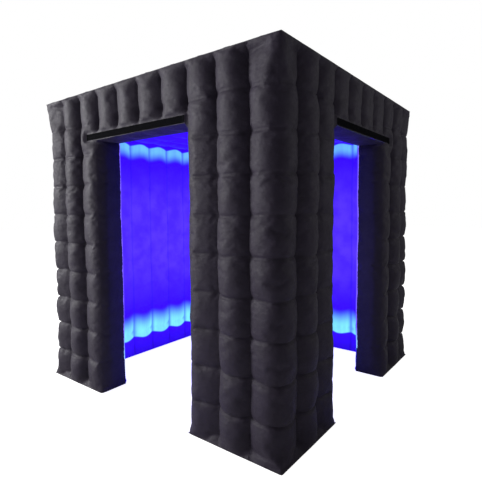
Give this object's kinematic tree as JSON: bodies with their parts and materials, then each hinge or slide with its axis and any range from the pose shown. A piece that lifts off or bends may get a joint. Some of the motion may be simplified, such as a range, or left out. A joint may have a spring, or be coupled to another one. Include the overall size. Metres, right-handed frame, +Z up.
{
  "type": "inflatable photo booth",
  "caption": "Inflatable quilted cube enclosure, black outside and white inside, with two doorways meeting at a corner pillar, lit from within.",
  "frame": {"origin": "on the floor, at the middle of the booth's footprint", "axes": "+Z up; -Y out of the front doorway; +X out of the side doorway"},
  "size_m": [2.5, 2.5, 2.5],
  "materials": {
    "black_oxford": "matte",
    "white_oxford": "matte",
    "hook_tape": "matte",
    "baffle_cloth": "matte",
    "light_tape": "gloss",
    "black_plastic": "satin",
    "grey_plastic": "satin",
    "bright_metal": "satin",
    "cable_sheath": "satin"
  },
  "bodies": {
    "booth": {"corner_column_near": "black_oxford", "corner_column_front_left": "black_oxford", "corner_column_back_left": "black_oxford", "corner_column_back_right": "black_oxford", "front_panel_left": "black_oxford", "front_panel_right": "black_oxford", "front_lintel_panel": "black_oxford", "side_panel_near": "black_oxford", "side_panel_far": "black_oxford", "side_lintel_panel": "black_oxford", "left_wall_panel": "black_oxford", "back_wall_panel": "black_oxford", "roof_panel": "black_oxford", "lining_front_left": "white_oxford", "lining_front_right": "white_oxford", "lining_front_lintel": "white_oxford", "lining_side_near": "white_oxford", "lining_side_far": "white_oxford", "lining_side_lintel": "white_oxford", "lining_left_wall": "white_oxford", "lining_back_wall": "white_oxford", "ceiling_panel": "white_oxford", "front_jamb_left": "black_oxford", "front_jamb_right": "black_oxford", "front_soffit": "black_oxford", "side_jamb_near": "black_oxford", "side_jamb_far": "black_oxford", "side_soffit": "black_oxford", "base_strip_front_left": "black_oxford", "base_strip_front_right": "black_oxford", "base_strip_side_near": "black_oxford", "base_strip_side_far": "black_oxford", "base_strip_left": "black_oxford", "base_strip_back": "black_oxford", "front_hook_strip": "hook_tape", "side_hook_strip": "hook_tape", "baffles_near_pillar": "baffle_cloth", "baffles_left_wall": "baffle_cloth", "baffles_back_wall": "baffle_cloth", "baffles_roof": "baffle_cloth", "light_tape_ceiling": "light_tape", "light_tape_floor_near": "light_tape", "light_tape_floor_long": "light_tape", "blower_case_front": "black_plastic", "blower_case_back": "black_plastic", "blower_motor": "bright_metal", "intake_grille": "black_plastic", "service_panel": "black_plastic", "mains_inlet": "black_plastic", "light_controller_case": "grey_plastic", "light_controller_lid": "grey_plastic", "motor_lead": "cable_sheath", "light_leads": "cable_sheath", "deflation_zip": "hook_tape"},
    "fan": {"blower_impeller": "grey_plastic", "blower_shaft": "bright_metal"},
    "rocker": {"blower_switch": "grey_plastic"},
    "button": {"light_button": "grey_plastic"},
    "slider": {"zip_slider": "bright_metal"},
    "pull_tab": {"zip_pull_tab": "bright_metal"}
  },
  "joints": [
    {"name": "impeller_spin", "type": "hinge", "parent": "booth", "child": "fan", "pos_m": [-0.625, 1.17, 0.42], "axis": [0, 1, 0], "continuous": true},
    {"name": "switch_rock", "type": "hinge", "parent": "booth", "child": "rocker", "pos_m": [-0.368, 1.2424, 0.38], "axis": [-1, 0, 0], "range_deg": [0, 20]},
    {"name": "light_button_press", "type": "slide", "parent": "booth", "child": "button", "axis": [0, -1, 0], "range_m": [0, 0.0025], "stiffness_N_per_m": 400},
    {"name": "zip_travel", "type": "slide", "parent": "booth", "child": "slider", "axis": [0, 0, -1], "range_m": [0, 0.37]},
    {"name": "pull_tab_swing", "type": "hinge", "parent": "slider", "child": "pull_tab", "pos_m": [0.625, 1.2472, 0.546], "axis": [1, 0, 0], "range_deg": [0, 150]}
  ]
}
